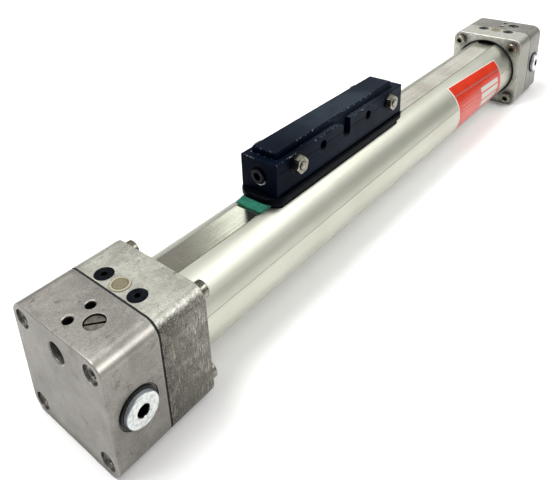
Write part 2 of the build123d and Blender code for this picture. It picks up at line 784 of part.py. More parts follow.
def make_dust_cover():
    """Frame under the carriage that hugs the tube and holds the wipers."""
    rim_plan = RectangleRounded(cover_rim_length, cover_rim_width, cover_rim_corner_r)
    rim = Pos(0, 0, cover_rim_floor) * extrude(rim_plan, carriage_bottom - cover_rim_floor)
    rim = fillet(rim.edges().group_by(Axis.Z)[-1] + rim.edges().group_by(Axis.Z)[0], cover_rim_edge_r)
    skirt_plan = RectangleRounded(
        cover_rim_length - 2 * skirt_inset, cover_rim_width - 2 * skirt_inset, skirt_corner_r
    )
    skirt = Pos(0, 0, bore_r) * extrude(skirt_plan, cover_rim_floor - bore_r + overrun)
    cover = rim + skirt
    cover -= rod_x(-cover_rim_length, cover_rim_length, tube_r + slide_gap)
    opening = cover_opening_length / 2
    opening_width = outer_band_width + 4 * band_side_gap
    low = bore_r - overrun
    cover -= slab(-opening, opening, opening_width, low, carriage_bottom + overrun)
    for side in (-1, 1):
        start, end = sorted((side * (cover_rim_length / 2 - wiper_depth), side * cover_rim_length))
        cover -= slab(start, end, wiper_width + 2 * static_gap, low, wiper_low() + wiper_thick)
    return Pos(carriage_rest, 0, 0) * cover


def wiper_low():
    return band_top + slide_gap


def make_wiper(side):
    """Scraper that wipes the outer band ahead of the carriage."""
    low = wiper_low()
    rim_end = cover_rim_length / 2
    profile = Polygon(
        (rim_end - wiper_depth, low),
        (rim_end + wiper_reach, low),
        (rim_end + wiper_reach, low + wiper_tip),
        (rim_end, low + wiper_thick),
        (rim_end - wiper_depth, low + wiper_thick),
        align=None,
    )
    wiper = extrude(Plane.XZ * profile, wiper_width / 2, both=True)
    if side < 0:
        wiper = mirror(wiper, about=Plane.YZ)
    return Pos(carriage_rest, 0, 0) * wiper


def make_yoke():
    """Beam between the pistons, with a tunnel for the inner band and the neck in the slot."""
    section = Circle(yoke_d / 2) & Pos(0, (yoke_top + yoke_bottom) / 2) * Rectangle(
        yoke_width, yoke_top - yoke_bottom
    )
    yoke = Pos(-yoke_half, 0, 0) * extrude(Plane.YZ * section, 2 * yoke_half)
    neck_plan = SlotOverall(neck_length, neck_width)
    neck_foot = yoke_top - neck_root
    yoke += Pos(0, 0, neck_foot) * extrude(neck_plan, carriage_bottom - neck_foot)
    tunnel_line = inner_band_line(0, -2 * yoke_half, 2 * yoke_half)
    tunnel_height = inner_band_thick + 4 * slide_gap
    tunnel = band_solid(tunnel_line, tunnel_height, inner_band_width + 4 * band_side_gap)
    yoke -= tunnel
    for x in yoke_screw_places():
        yoke -= rod_z(yoke_top, carriage_bottom + overrun, yoke_screw_size / 2 + static_gap, x)
    drill = yoke_half - piston_screw_drill
    for start, end in ((-yoke_half - overrun, -drill), (drill, yoke_half + overrun)):
        yoke -= rod_x(start, end, piston_screw_size / 2 + static_gap)
    return Pos(carriage_rest, 0, 0) * yoke


def make_yoke_screws():
    web_top = carriage_bottom + web_thick
    head_low = web_top - yoke_screw_head - yoke_screw_sink
    length = head_low - yoke_top - yoke_screw_end_gap
    screw = socket_screw(yoke_screw_size, length, yoke_screw_head)
    return [Pos(carriage_rest + x, 0, head_low) * screw for x in yoke_screw_places()]


def seal_start():
    return piston_half - cushion_seal_length - piston_land - piston_seal_width


def guide_start():
    return piston_half - piston_length + guide_ring_inset


def make_piston(side):
    """Piston with grooves for its seal and guide ring, and the bore for the cushion tube."""
    start = yoke_half
    bore_depth = cushion_reach + cushion_bore_end_gap + piston_screw_size
    piston = rod_x(start, piston_half, piston_d / 2)
    piston = chamfer(piston.edges().filter_by(GeomType.CIRCLE).sort_by(Axis.X)[-1:], piston_edge)
    bore_side = cushion_tube_d / 2 + cushion_bore_side_gap
    piston -= rod_x(piston_half - bore_depth, piston_half + overrun, bore_side)
    seal_r = cushion_tube_d / 2 + cushion_seal_thick + static_gap
    piston -= rod_x(piston_half - cushion_seal_length, piston_half + overrun, seal_r)
    piston -= rod_x(start - overrun, piston_half, piston_screw_size / 2 + static_gap)
    for low, width in ((seal_start(), piston_seal_width), (guide_start(), guide_ring_width)):
        piston -= tube_x(low, low + width, piston_d, piston_d / 2 - ring_groove_depth)
    return place_on_side(piston, side)


def place_on_side(part, side):
    part = part if side > 0 else mirror(part, about=Plane.YZ)
    return Pos(carriage_rest, 0, 0) * part


def make_groove_ring(side, start, width):
    ring = tube_x(
        start + static_gap, start + width - static_gap,
        bore_r - seal_gap, piston_d / 2 - ring_groove_depth + static_gap,
    )
    return place_on_side(ring, side)


def make_piston_seal(side):
    """Lip seal with the groove of its lip on the pressure side."""
    ring = tube_x(
        seal_start() + static_gap, seal_start() + piston_seal_width - static_gap,
        bore_r - seal_gap, piston_d / 2 - ring_groove_depth + static_gap,
    )
    lip_r = (bore_r + piston_d / 2 - ring_groove_depth) / 2
    end = seal_start() + piston_seal_width
    half = lip_groove_width / 2
    ring -= tube_x(end - lip_groove_depth, end, lip_r + half, lip_r - half)
    return place_on_side(ring, side)


def make_cushion_seal(side):
    ring = tube_x(
        piston_half - cushion_seal_length + static_gap, piston_half - slide_gap,
        cushion_tube_d / 2 + cushion_seal_thick, cushion_tube_d / 2 + running_gap,
    )
    return place_on_side(ring, side)


def make_piston_screws():
    """Screws inside the cushion bores that hold the pistons to the yoke."""
    head_low = piston_half - cushion_reach - cushion_bore_end_gap - piston_screw_size
    screw = socket_screw(piston_screw_size, head_low - yoke_half + piston_screw_grip)
    return [
        Pos(carriage_rest + side * head_low, 0, 0) * Rot(0, side * 90, 0) * screw for side in (-1, 1)
    ]


def build_end(prefix, place):
    """Write every piece of one end cap."""
    save(f"{prefix}_end_cover", place(make_end_cover()))
    save(f"{prefix}_gasket", place(make_gasket()))
    save(f"{prefix}_flange", place(make_flange()))
    save(f"{prefix}_tube_seal", place(make_tube_seal()))
    save(f"{prefix}_retaining_ring", place(make_retaining_ring()))
    save(f"{prefix}_cap_screws", *[place(screw) for screw in make_cap_screws()])
    save(f"{prefix}_thread_inserts", *[place(insert) for insert in make_thread_inserts()])
    save(f"{prefix}_cushion_tube", place(make_cushion_tube()))
    save(f"{prefix}_bumper", place(make_bumper()))
    save(f"{prefix}_cushion_adjuster", place(make_adjuster()))
    save(f"{prefix}_port_plug", place(make_port_plug()))
    save(f"{prefix}_port_seal", place(make_port_seal()))
    save(f"{prefix}_band_clamp", place(make_band_clamp()))
    save(f"{prefix}_clamp_screws", *[place(screw) for screw in make_clamp_screws()])
    save(f"{prefix}_band_set_screw", place(make_set_screw()))
    save(f"{prefix}_vent_plug", place(make_vent_plug()))


def build_barrel():
    save("tube", make_tube())
    save("outer_band", band_solid(outer_band_line(), outer_band_thick, outer_band_width))
    save("inner_band", band_solid(inner_band_line(), inner_band_thick, inner_band_width))


def build_carriage():
    half = carriage_length / 2
    save("carriage_body", make_carriage_body())
    save("mounting_bar", make_mounting_bar())
    save("near_end_panel", make_end_panel(-half, bar_start - static_gap, -half))
    save("far_end_panel", make_end_panel(bar_end + static_gap, half, half))
    save("end_panel_screws", *make_end_screws())
    save("cross_bolts", *make_cross_bolts())
    save("cross_nuts", *make_cross_nuts())
    save("cross_washers", *make_cross_washers())
    save("dust_cover", make_dust_cover())
    save("yoke", make_yoke())
    save("yoke_screws", *make_yoke_screws())
    save("piston_screws", *make_piston_screws())
    for prefix, side in (("near", -1), ("far", 1)):
        save(f"{prefix}_wiper", make_wiper(side))
        save(f"{prefix}_piston", make_piston(side))
        save(f"{prefix}_piston_seal", make_piston_seal(side))
        save(f"{prefix}_guide_ring", make_groove_ring(side, guide_start(), guide_ring_width))
        save(f"{prefix}_cushion_seal", make_cushion_seal(side))


build_barrel()
build_end("near", lambda part: part)
build_end("far", to_far_end)
build_carriage()

print(f"overall length {overall_length:.2f}")
print(f"carriage travel {near_limit - carriage_rest:.2f} to {near_limit + stroke - carriage_rest:.2f}")
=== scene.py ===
import json
import math

import bmesh
import bpy
from mathutils import Matrix, Vector


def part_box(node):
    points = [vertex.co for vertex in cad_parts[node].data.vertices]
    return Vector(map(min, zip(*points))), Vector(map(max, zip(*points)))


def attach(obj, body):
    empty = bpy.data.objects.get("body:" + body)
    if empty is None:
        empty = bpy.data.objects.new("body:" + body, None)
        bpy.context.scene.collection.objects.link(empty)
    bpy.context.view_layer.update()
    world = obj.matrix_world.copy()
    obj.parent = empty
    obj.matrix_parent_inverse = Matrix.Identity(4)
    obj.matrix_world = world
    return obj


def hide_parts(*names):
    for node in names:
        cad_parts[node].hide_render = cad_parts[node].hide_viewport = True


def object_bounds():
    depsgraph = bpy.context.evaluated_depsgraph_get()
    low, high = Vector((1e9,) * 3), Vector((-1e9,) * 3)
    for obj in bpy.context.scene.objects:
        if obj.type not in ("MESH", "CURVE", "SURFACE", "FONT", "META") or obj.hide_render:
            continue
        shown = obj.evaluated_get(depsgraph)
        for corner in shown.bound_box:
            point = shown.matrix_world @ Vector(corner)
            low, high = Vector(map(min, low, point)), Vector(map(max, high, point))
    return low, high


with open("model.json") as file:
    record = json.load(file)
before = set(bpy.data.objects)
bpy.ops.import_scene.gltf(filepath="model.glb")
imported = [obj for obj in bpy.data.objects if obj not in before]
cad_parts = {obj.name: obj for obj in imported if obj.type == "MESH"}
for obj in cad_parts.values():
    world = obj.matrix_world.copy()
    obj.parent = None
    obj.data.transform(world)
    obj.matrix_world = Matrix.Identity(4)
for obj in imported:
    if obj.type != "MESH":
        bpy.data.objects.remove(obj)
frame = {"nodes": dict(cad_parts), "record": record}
cad_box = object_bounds()

MM = 0.001

# The photograph's camera, in its frame of 554 x 480 pixels; places are in the part's own frame
PHOTO_WIDTH = 554
PHOTO_HEIGHT = 480
FOCAL_LENGTH_PX = 605.9
VIEW_CENTRE_X_PX = 276.1
VIEW_CENTRE_Y_PX = 91.95
SENSOR_MM = 36.0
CAMERA_MM = Vector((-92.84, -212.67, 235.05))
CAMERA_FORWARD = Vector((0.7069, 0.58908, -0.39151))
CAMERA_RIGHT = Vector((0.62855, -0.77701, -0.03423))

FLOOR_SIZE = 16.0
FLOOR_GAP = 0.0001

# How bright the room is at heights from the horizon (0) to overhead (1)
ROOM_GREYS = ((0.0, 0.14), (0.25, 0.2), (0.6, 0.32), (1.0, 0.42))
ROOM_TINT = (1.0, 0.99, 0.955)

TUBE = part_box("tube")
TUBE_RADIUS = -TUBE[0].z
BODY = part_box("carriage_body")
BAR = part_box("mounting_bar")
END_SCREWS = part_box("end_panel_screws")
NEAR_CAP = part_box("near_end_cover")
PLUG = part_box("near_port_plug")
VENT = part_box("near_vent_plug")
MIDDLE_X_MM = (cad_box[0].x + cad_box[1].x) / 2 / MM

CHEEK_TOP_MM = BODY[1].z / MM
BAR_TOP_MM = BAR[1].z / MM

# Painted shade: a black ring round the tube on the flanges' mouths, out to this radius, stands in
# for the shadowed gap there
MOUTH_SHADE_RIM_MM = TUBE_RADIUS / MM + 2.0

# The near end is the used one: wear on the flanges fades out between these places along X
WEAR_FADES_MM = (200, 300)
# Oil has crept along the near flange's side from its gasket to here
OIL_FULL_MM, OIL_END_MM = 32, 47

# Painted light on the carriage: its top is painted palest in its middle, and its ports' side is
# painted paler towards its far end
TOP_PALER_MM = (150, 225)
TOP_DARKER_MM = (245, 275)
FLANK_PALER_MM = (155, 240)

# Reach of the port plug's hexagon, inside which shade is painted nearly black; start of the bevel
# round its face, beyond which a highlight is painted; start of the vent's pale rim
PLUG_HEX_MM = 3.5
PLUG_COLLAR_MM = 8.5
VENT_RIM_MM = 4.0

# Blank label stuck a little askew round the tube; angles are from the top towards the ports' side
LABEL_START_MM = 378.5
LABEL_LENGTH_MM = 99.5
LABEL_TOP_DEG = 32.3
LABEL_BOTTOM_DEG = 126.0
LABEL_SKEW_DEG = 9.3
LABEL_THICK_MM = 0.12
LABEL_LIFT_MM = 0.06

# The bands' bent stretches have the solids' lines. A negative lift is a dip. The flat middle and
# the feet of the ramps are measured from the carriage's middle
BAND_BEND_RADIUS = 38 * MM
OUTER_BAND = {
    "thickness": 0.6 * MM,
    "lift": 12.9 * MM,
    "half_flat": 33.78 * MM,
    "half_foot": 62.78 * MM,
}
INNER_BAND = {
    "thickness": 1.0 * MM,
    "lift": -12.5 * MM,
    "half_flat": 41.01 * MM,
    "half_foot": 70.35 * MM,
}


def tone(code):
    """Linear colour of a six-digit sRGB code."""
    parts = [int(code[i:i + 2], 16) / 255 for i in (0, 2, 4)]
    linear = [c / 12.92 if c <= 0.04045 else ((c + 0.055) / 1.055) ** 2.4 for c in parts]
    return (*linear, 1.0)


class Finish:
    """Node tree of one material. Each method adds nodes and returns the socket they end in."""

    def __init__(self, name, metallic=0.0):
        self.material = bpy.data.materials.new(name)
        self.material.use_nodes = True
        self.tree = self.material.node_tree
        self.shader = self.tree.nodes["Principled BSDF"]
        self.shader.inputs["Metallic"].default_value = metallic

    def add(self, kind, **settings):
        node = self.tree.nodes.new(kind)
        for name, value in settings.items():
            setattr(node, name, value)
        return node

    def feed(self, value, socket):
        """Link an output to the socket, or set it to a constant."""
        if isinstance(value, bpy.types.NodeSocket):
            self.tree.links.new(value, socket)
        else:
            socket.default_value = value

    def place(self, stretch=(1, 1, 1), turn=(0, 0, 0), shift=(0, 0, 0)):
        """Object coordinates in millimetres, turned in degrees and stretched along the axes."""
        coordinates = self.add("ShaderNodeTexCoord")
        mapping = self.add("ShaderNodeMapping", vector_type="POINT")
        mapping.inputs["Scale"].default_value = [1000 / s for s in stretch]
        mapping.inputs["Rotation"].default_value = [math.radians(t) for t in turn]
        mapping.inputs["Location"].default_value = shift
        self.tree.links.new(coordinates.outputs["Object"], mapping.inputs["Vector"])
        return mapping.outputs["Vector"]

    def noise(self, size, detail=4.0, rough=0.5, place=None, distortion=0.0, shift=(0, 0, 0)):
        """Cloudy noise with patches of about this size in millimetres."""
        node = self.add("ShaderNodeTexNoise")
        node.inputs["Scale"].default_value = 1 / size
        node.inputs["Detail"].default_value = detail
        node.inputs["Roughness"].default_value = rough
        node.inputs["Distortion"].default_value = distortion
        vector = place if place is not None else self.place(shift=shift)
        self.tree.links.new(vector, node.inputs["Vector"])
        return node.outputs["Fac"]

    def cells(self, size):
        """Distance to the nearest of scattered points, about this many millimetres apart."""
        node = self.add("ShaderNodeTexVoronoi", feature="F1")
        node.inputs["Scale"].default_value = 1 / size
        self.tree.links.new(self.place(), node.inputs["Vector"])
        return node.outputs["Distance"]

    def scratches(self, stretch, turn):
        """Thin straight lines from noise pulled out along one direction."""
        lines = self.noise(1.0, detail=1, place=self.place(stretch=stretch, turn=turn))
        return self.span(lines, 0.70, 0.80)

    def span(self, value, low, high, to_low=0.0, to_high=1.0):
        """Smooth step from one number to another while the value runs from low to high."""
        node = self.add("ShaderNodeMapRange", interpolation_type="SMOOTHSTEP")
        self.feed(value, node.inputs["Value"])
        ends = {"From Min": low, "From Max": high, "To Min": to_low, "To Max": to_high}
        for name, number in ends.items():
            self.feed(number, node.inputs[name])
        return node.outputs["Result"]

    def between(self, value, low, full, fall, high):
        """1 where the value lies from full to fall, 0 below low and above high."""
        return self.times(self.span(value, low, full), self.span(value, high, fall))

    def calc(self, kind, first, second=0.0):
        """Any math node."""
        node = self.add("ShaderNodeMath", operation=kind)
        for value, socket in zip((first, second), node.inputs):
            self.feed(value, socket)
        return node.outputs[0]

    def plus(self, first, second):
        return self.calc("ADD", first, second)

    def minus(self, first, second):
        return self.calc("SUBTRACT", first, second)

    def times(self, first, second):
        return self.calc("MULTIPLY", first, second)

    def larger(self, first, second):
        return self.calc("MAXIMUM", first, second)

    def mix(self, factor, first, second):
        """The first colour where the factor is 0, the second where it is 1."""
        node = self.add("ShaderNodeMix", data_type="RGBA", blend_type="MIX")
        self.feed(factor, node.inputs[0])
        self.feed(first, node.inputs[6])
        self.feed(second, node.inputs[7])
        return node.outputs[2]

    def axis(self, name, place=None):
        """Place along one axis in millimetres, or that part of another vector."""
        node = self.add("ShaderNodeSeparateXYZ")
        self.tree.links.new(place if place is not None else self.place(), node.inputs[0])
        return node.outputs[name]

    def facing(self, name):
        """How far the surface faces along one axis of the part's frame, from -1 to 1."""
        return self.axis(name, self.add("ShaderNodeNewGeometry").outputs["Normal"])

    def radius(self, first, second):
        """Distance from a line, from the two distances across it."""
        squares = (self.times(value, value) for value in (first, second))
        return self.calc("SQRT", self.plus(*squares))

    def from_middle(self, box):
        """Distance in millimetres along X from the middle of this box, or of its mirror image."""
        middle = (box[0].x + box[1].x) / 2 / MM
        offset = self.calc("ABSOLUTE", self.minus(self.axis("X"), MIDDLE_X_MM))
        return self.minus(offset, MIDDLE_X_MM - middle)

    def edges(self, radius, low=0.02, high=0.16):
        """1 along edges, 0 on faces, over about this many millimetres."""
        bevel = self.add("ShaderNodeBevel", samples=6)
        bevel.inputs["Radius"].default_value = radius * MM
        geometry = self.add("ShaderNodeNewGeometry")
        dot = self.add("ShaderNodeVectorMath", operation="DOT_PRODUCT")
        self.tree.links.new(bevel.outputs["Normal"], dot.inputs[0])
        self.tree.links.new(geometry.outputs["Normal"], dot.inputs[1])
        return self.span(self.minus(1.0, dot.outputs["Value"]), low, high)

    def openness(self, reach, power=1.6):
        """1 on open faces, towards 0 deep in holes and gaps this many millimetres wide."""
        node = self.add("ShaderNodeAmbientOcclusion", samples=4)
        node.inputs["Distance"].default_value = reach * MM
        return self.calc("POWER", node.outputs["AO"], power)

    def soft_edges(self, radius):
        """A normal that rounds every edge by this many millimetres."""
        bevel = self.add("ShaderNodeBevel", samples=6)
        bevel.inputs["Radius"].default_value = radius * MM
        return bevel.outputs["Normal"]

    def bump(self, height, depth, normal=None):
        """Bump whose full height is this many millimetres."""
        node = self.add("ShaderNodeBump")
        node.inputs["Strength"].default_value = 1.0
        node.inputs["Distance"].default_value = depth * MM
        self.feed(height, node.inputs["Height"])
        if normal is not None:
            self.tree.links.new(normal, node.inputs["Normal"])
        return node.outputs["Normal"]

    def done(self, color, roughness, normal=None, **constants):
        """Feed the shader. A constant's name is the socket's, with underscores for its spaces."""
        self.feed(color, self.shader.inputs["Base Color"])
        self.feed(roughness, self.shader.inputs["Roughness"])
        if normal is not None:
            self.tree.links.new(normal, self.shader.inputs["Normal"])
        for name, value in constants.items():
            self.shader.inputs[name.replace("_", " ")].default_value = value
        return self.material


def make_cover_finish():
    """Die-cast aluminium, blasted fine, a little stained and rubbed bright on its edges, with
    painted shade on its sides and in its hollows and a painted highlight on its rounding.
    """
    f = Finish("cast_aluminium", metallic=0.75)
    speckle = f.noise(0.42, detail=3, rough=0.85)
    mottle = f.noise(1.9, detail=6, rough=0.75, shift=(5, 3, 9))
    patches = f.noise(19, detail=5, rough=0.6, distortion=0.5)
    stains = f.noise(7, detail=7, rough=0.72, shift=(40, 12, 7))
    color = f.mix(f.span(patches, 0.36, 0.64), tone("827f79"), tone("9c9992"))
    color = f.mix(f.span(mottle, 0.47, 0.70, 0.0, 0.6), color, tone("6f6b65"))
    color = f.mix(f.span(speckle, 0.52, 0.68, 0.0, 0.7), color, tone("d6d4cf"))
    color = f.mix(f.span(speckle, 0.47, 0.32, 0.0, 0.45), color, tone("55504a"))
    color = f.mix(f.span(stains, 0.55, 0.68, 0.0, 0.55), color, tone("4b443e"))
    pits = f.times(f.span(f.cells(2.1), 0.07, 0.17, 1.0, 0.0), f.span(stains, 0.45, 0.6))
    color = f.mix(f.times(pits, 0.6), color, tone("2a2622"))
    rubbed = f.times(f.scratches((0.3, 22, 22), (0, 0, 14)), f.span(mottle, 0.4, 0.6))
    color = f.mix(f.times(rubbed, 0.35), color, tone("d0cdc5"))
    worn = f.times(f.edges(0.6), f.span(mottle, 0.38, 0.52, 0.35, 1.0))
    color = f.mix(worn, color, tone("e4e2dc"))
    # Painted shade: faces that turn away from overhead are darkened by their facing.
    color = f.mix(f.span(f.facing("Z"), 0.5, 0.1, 0.0, 0.38), color, tone("5f5b55"))
    # Painted shade: hollows and gaps are darkened towards black by ambient occlusion.
    color = f.mix(f.openness(7), tone("0b0a09"), color)
    rounding = f.between(f.facing("Z"), 0.15, 0.5, 0.9, 0.99)
    smooth = f.larger(worn, rounding)
    # Painted highlight: the rounded edges are painted paler all along.
    color = f.mix(f.times(rounding, 0.35), color, tone("b5b2ab"))
    roughness = f.minus(f.span(speckle, 0.3, 0.7, 0.36, 0.46), f.times(smooth, 0.06))
    grain = f.times(f.plus(speckle, mottle), f.span(smooth, 0.0, 1.0, 1.0, 0.5))
    skin = f.minus(grain, f.times(pits, 2.0))
    return f.done(color, roughness, f.bump(skin, 0.03, f.soft_edges(0.4)))


def make_flange_finish():
    """Rougher casting, pale on its edges and dark and scored on the near end's sides. Painted
    light makes the far end paler on top and on its faces towards -X; painted shade darkens its
    hollows and rings the tube's mouth in black.
    """
    f = Finish("cast_flange", metallic=0.75)
    speckle = f.noise(0.5, detail=3, rough=0.85)
    mottle = f.noise(2.4, detail=7, rough=0.78, shift=(5, 3, 9), distortion=0.4)
    patches = f.noise(13, detail=5, rough=0.6, distortion=0.6)
    stains = f.noise(5, detail=7, rough=0.75, shift=(40, 12, 7))
    scored = f.noise(1.0, detail=5, rough=0.8, place=f.place(stretch=(0.35, 3, 7), turn=(0, 4, 0)))
    used = f.span(f.axis("X"), *WEAR_FADES_MM, 1.0, 0.25)
    clean = f.mix(f.span(patches, 0.36, 0.64), tone("9d9c93"), tone("b6b6ac"))
    # Painted light on the far flange: its top is painted paler and its faces towards -X much
    # paler, where the near end's wear fades out.
    far_painted_light = f.mix(f.span(f.facing("Z"), 0.5, 0.9), tone("9a9a90"), tone("d2d2c8"))
    far_painted_light = f.mix(f.span(f.facing("X"), -0.6, -0.9), far_painted_light, tone("f4f4ec"))
    clean = f.mix(used, far_painted_light, clean)
    clean = f.mix(f.span(mottle, 0.46, 0.66, 0.0, 0.6), clean, tone("87867e"))
    side = f.mix(f.span(mottle, 0.36, 0.62), tone("757269"), tone("57544d"))
    score = f.times(f.span(scored, 0.50, 0.66), f.span(patches, 0.3, 0.6, 0.9, 0.3))
    side = f.mix(score, side, tone("b9b6ad"))
    side = f.mix(f.span(scored, 0.46, 0.30, 0.0, 0.6), side, tone("3f3c37"))
    for lean in (3, -11):
        drawn = f.noise(1.0, detail=2, place=f.place(stretch=(0.3, 9, 10), turn=(0, lean, 0)))
        side = f.mix(f.span(drawn, 0.60, 0.70, 0.0, 0.75), side, tone("dad7ce"))
    side = f.mix(f.span(patches, 0.42, 0.62, 0.0, 0.55), side, tone("4d4a43"))
    reached = f.span(f.axis("X"), OIL_FULL_MM, OIL_END_MM, 1.0, 0.0)
    oily = f.times(reached, f.span(stains, 0.35, 0.6, 1.0, 0.35))
    side = f.mix(oily, side, tone("3a352b"))
    aside = f.times(f.span(f.facing("Z"), 0.97, 0.45), used)
    color = f.mix(aside, clean, side)
    color = f.mix(f.span(speckle, 0.54, 0.68, 0.0, 0.5), color, tone("d9d8cf"))
    color = f.mix(f.span(speckle, 0.46, 0.30, 0.0, 0.45), color, tone("3f3c37"))
    dirt = f.times(f.span(stains, 0.60, 0.70, 0.0, 0.75), used)
    color = f.mix(dirt, color, tone("38342f"))
    pits = f.times(f.span(f.cells(1.8), 0.08, 0.2, 1.0, 0.0), f.span(stains, 0.42, 0.55))
    pits = f.times(pits, used)
    color = f.mix(f.times(pits, 0.8), color, tone("25221f"))
    marks = f.span(f.noise(0.8, detail=4, rough=0.7, shift=(2, 7, 1)), 0.56, 0.64)
    corner = f.between(f.facing("Z"), 0.2, 0.6, 0.85, 0.99)
    worn = f.larger(f.edges(0.8), f.times(corner, 0.8))
    worn = f.times(worn, f.larger(marks, f.span(mottle, 0.5, 0.4, 0.0, 0.5)))
    worn = f.times(worn, f.calc("POWER", used, 0.5))
    color = f.mix(worn, color, tone("dcdcd4"))
    # Painted shade: hollows and gaps are darkened towards black by ambient occlusion.
    color = f.mix(f.openness(7), tone("0b0a09"), color)
    # Painted shade: black round the tube's mouth, where the gap lies in shadow.
    mouth = f.radius(f.axis("Y"), f.axis("Z"))
    color = f.mix(f.span(mouth, MOUTH_SHADE_RIM_MM - 0.2, MOUTH_SHADE_RIM_MM + 0.2), tone("0c0c0d"), color)
    smooth = f.larger(worn, corner)
    roughness = f.minus(f.span(speckle, 0.3, 0.7, 0.4, 0.55), f.times(smooth, 0.12))
    skin = f.minus(f.plus(speckle, mottle), f.times(pits, 2.0))
    return f.done(color, roughness, f.bump(skin, 0.08, f.soft_edges(0.45)))


def make_tube_finish():
    """Satin clear anodised extrusion with faint draw lines along X."""
    f = Finish("anodised_tube", metallic=1.0)
    draw = f.noise(1.0, detail=3, place=f.place(stretch=(160, 0.5, 0.5)))
    cloud = f.noise(45, detail=3)
    specks = f.span(f.cells(9.0), 0.035, 0.05, 1.0, 0.0)
    dirt = f.times(specks, f.span(f.noise(30), 0.5, 0.62))
    color = f.mix(f.span(cloud, 0.3, 0.7), tone("bebfb2"), tone("c5c6ba"))
    color = f.mix(f.span(draw, 0.3, 0.75, 0.0, 0.22), color, tone("b3b4aa"))
    color = f.mix(f.times(dirt, 0.7), color, tone("5d5850"))
    roughness = f.span(draw, 0.3, 0.7, 0.42, 0.49)
    normal = f.bump(draw, 0.006)
    return f.done(color, roughness, normal)


def make_band_finish():
    """Spring steel strip, brushed across by years of wipers, with longer scratches."""
    f = Finish("band_steel", metallic=1.0)
    brush = f.noise(1.0, detail=4, rough=0.7, place=f.place(stretch=(60, 0.25, 1)))
    rub = f.noise(1.0, detail=2, place=f.place(stretch=(0.3, 16, 4), turn=(0, 0, 9)))
    tint = f.mix(f.span(f.noise(38, detail=4), 0.35, 0.65), tone("b8b2a5"), tone("ccc9be"))
    color = f.mix(f.span(brush, 0.35, 0.7, 0.0, 0.35), tint, tone("8f877d"))
    color = f.mix(f.span(rub, 0.58, 0.72, 0.0, 0.4), color, tone("e3e0d7"))
    roughness = f.span(brush, 0.3, 0.7, 0.14, 0.25)
    normal = f.bump(f.plus(brush, rub), 0.004, f.soft_edges(0.1))
    return f.done(color, roughness, normal)


def make_black_anodised():
    """Black anodised block with the metal showing through where its edges were knocked, painted
    blue-grey light on its top and ports' side, and a painted glint below its end screw.
    """
    f = Finish("black_anodised")
    fine = f.noise(0.5, detail=5, rough=0.7)
    bloom = f.noise(22, detail=4)
    color = f.mix(f.span(bloom, 0.35, 0.68), tone("010510"), tone("030a1b"))
    # Painted light: upward faces are painted paler, most in the top's middle.
    lit = f.times(f.span(f.facing("Z"), 0.7, 0.95), f.span(bloom, 0.3, 0.62, 0.5, 1.0))
    along = f.times(
        f.span(f.axis("X"), *TOP_PALER_MM), f.span(f.axis("X"), *TOP_DARKER_MM, 1.0, 0.3)
    )
    color = f.mix(f.times(lit, f.plus(along, 0.1)), color, tone("272e36"))
    # Painted light: the ports' side is painted paler towards the far end.
    flank_painted_light = f.times(f.span(f.facing("Y"), -0.7, -0.95), f.span(f.axis("X"), *FLANK_PALER_MM))
    color = f.mix(f.times(flank_painted_light, f.span(bloom, 0.3, 0.6, 0.6, 1.0)), color, tone("1c222b"))
    dust = f.span(f.noise(1.4, detail=6, rough=0.8, shift=(3, 9, 5)), 0.68, 0.8, 0.0, 0.35)
    color = f.mix(dust, color, tone("5c5f66"))
    chips = f.span(f.noise(1.5, detail=5, rough=0.65, shift=(8, 2, 4)), 0.56, 0.6)
    bare_metal_and_glint = f.times(f.edges(0.6, 0.02, 0.08), chips)
    patches = f.span(f.noise(26, detail=2, shift=(5, 0, 0)), 0.42, 0.5)
    height = f.axis("Z")
    cheek_edge = f.between(
        height, CHEEK_TOP_MM - 0.9, CHEEK_TOP_MM - 0.6, CHEEK_TOP_MM + 0.2, CHEEK_TOP_MM + 0.4
    )
    bar_edge = f.span(height, BAR_TOP_MM - 0.9, BAR_TOP_MM - 0.6)
    bare_metal_and_glint = f.times(f.times(bare_metal_and_glint, patches), f.larger(cheek_edge, bar_edge))
    color = f.mix(bare_metal_and_glint, color, tone("e9ebee"))
    screw_z = (END_SCREWS[0].z + END_SCREWS[1].z) / 2 / MM
    screw_radius = (END_SCREWS[1].z - END_SCREWS[0].z) / 2 / MM
    below = f.minus(height, screw_z)
    seat = f.radius(f.axis("Y"), below)
    # Painted highlight: a bright metallic crescent below the end screw's seat stands in for light
    # caught by the hole's chamfer; it joins the knocked edges in the metallic mask.
    ring = f.between(
        seat, screw_radius - 0.1, screw_radius + 0.1, screw_radius + 1.0, screw_radius + 1.3
    )
    ring = f.times(ring, f.span(below, -0.45 * screw_radius, -0.85 * screw_radius))
    bare_metal_and_glint = f.larger(bare_metal_and_glint, ring)
    color = f.mix(ring, color, tone("c9ccd0"))
    f.feed(f.span(bare_metal_and_glint, 0.3, 0.7), f.shader.inputs["Metallic"])
    roughness = f.span(fine, 0.3, 0.7, 0.36, 0.46)
    normal = f.bump(fine, 0.008, f.soft_edges(0.22))
    return f.done(
        color, roughness, normal, Specular_IOR_Level=0.03, Specular_Tint=(0.42, 0.68, 1.0, 1.0)
    )


def plain_metal(name, base, shade, roughness):
    """Turned or plated metal with a little tarnish in patches and painted shade in its hollows."""
    f = Finish(name, metallic=1.0)
    patches = f.noise(2.6, detail=5, rough=0.65)
    fine = f.noise(0.35, detail=3)
    color = f.mix(f.span(patches, 0.38, 0.68), base, shade)
    # Painted shade: hollows are darkened towards black by ambient occlusion.
    color = f.mix(f.openness(4), tone("0a0a0b"), color)
    rough = f.span(fine, 0.3, 0.7, roughness - 0.05, roughness + 0.08)
    return f.done(color, rough, f.bump(fine, 0.01, f.soft_edges(0.12)))


